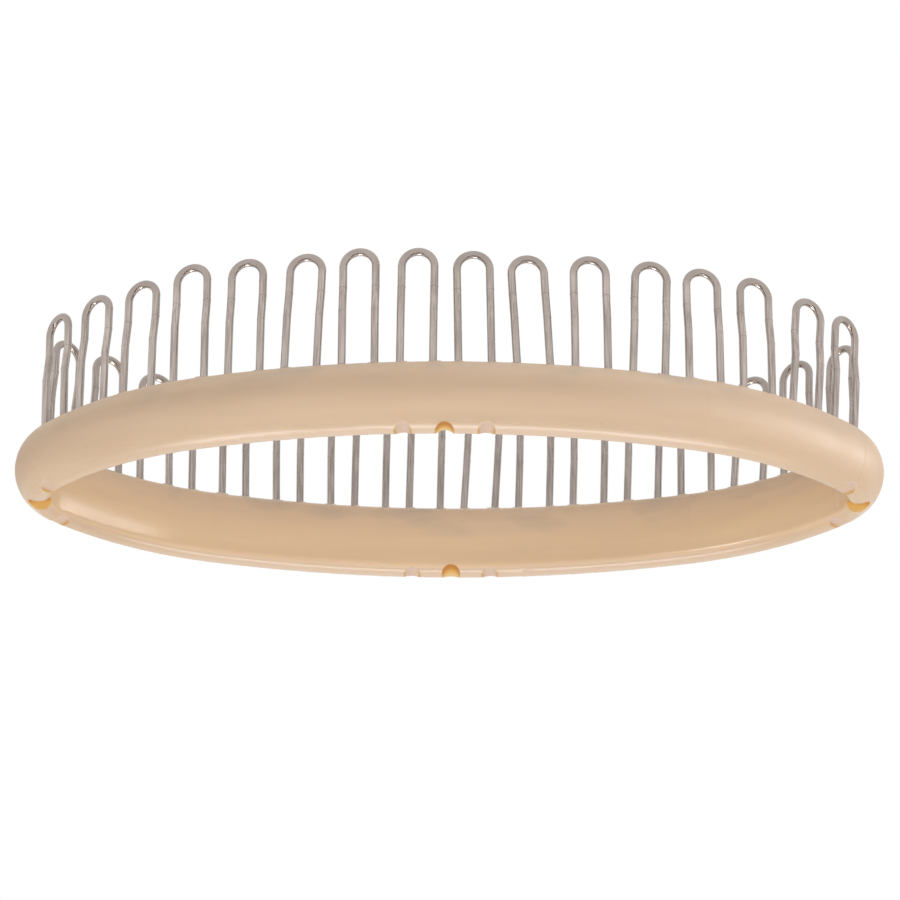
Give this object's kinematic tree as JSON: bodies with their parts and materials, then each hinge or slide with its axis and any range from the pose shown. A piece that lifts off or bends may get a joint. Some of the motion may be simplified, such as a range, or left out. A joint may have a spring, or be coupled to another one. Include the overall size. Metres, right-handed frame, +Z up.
{
  "type": "oval peg knitting loom",
  "caption": "Oval hand knitting loom: a moulded plastic ring whose crest carries hairpin wire pegs all the way round.",
  "frame": {"origin": "centre of the ring, in the plane that its foot rests on", "axes": "+X along the long axis of the oval, +Y toward the back pegs, +Z up along the pegs"},
  "size_m": [0.2618, 0.111, 0.0629],
  "materials": {
    "ring_plastic": "smooth cream plastic with a soft gloss",
    "peg_wire": "drawn steel wire, dulled and slightly browned"
  },
  "bodies": {
    "root": {"ring": "ring_plastic", "front_peg_01": "peg_wire", "front_peg_02": "peg_wire", "front_peg_03": "peg_wire", "front_peg_04": "peg_wire", "front_peg_05": "peg_wire", "front_peg_06": "peg_wire", "front_peg_07": "peg_wire", "front_peg_08": "peg_wire", "front_peg_09": "peg_wire", "front_peg_10": "peg_wire", "front_peg_11": "peg_wire", "front_peg_12": "peg_wire", "front_peg_13": "peg_wire", "front_peg_14": "peg_wire", "front_peg_15": "peg_wire", "front_peg_16": "peg_wire", "back_peg_01": "peg_wire", "back_peg_02": "peg_wire", "back_peg_03": "peg_wire", "back_peg_04": "peg_wire", "back_peg_05": "peg_wire", "back_peg_06": "peg_wire", "back_peg_07": "peg_wire", "back_peg_08": "peg_wire", "back_peg_09": "peg_wire", "back_peg_10": "peg_wire", "back_peg_11": "peg_wire", "back_peg_12": "peg_wire", "back_peg_13": "peg_wire", "back_peg_14": "peg_wire", "back_peg_15": "peg_wire", "back_peg_16": "peg_wire"}
  },
  "joints": []
}
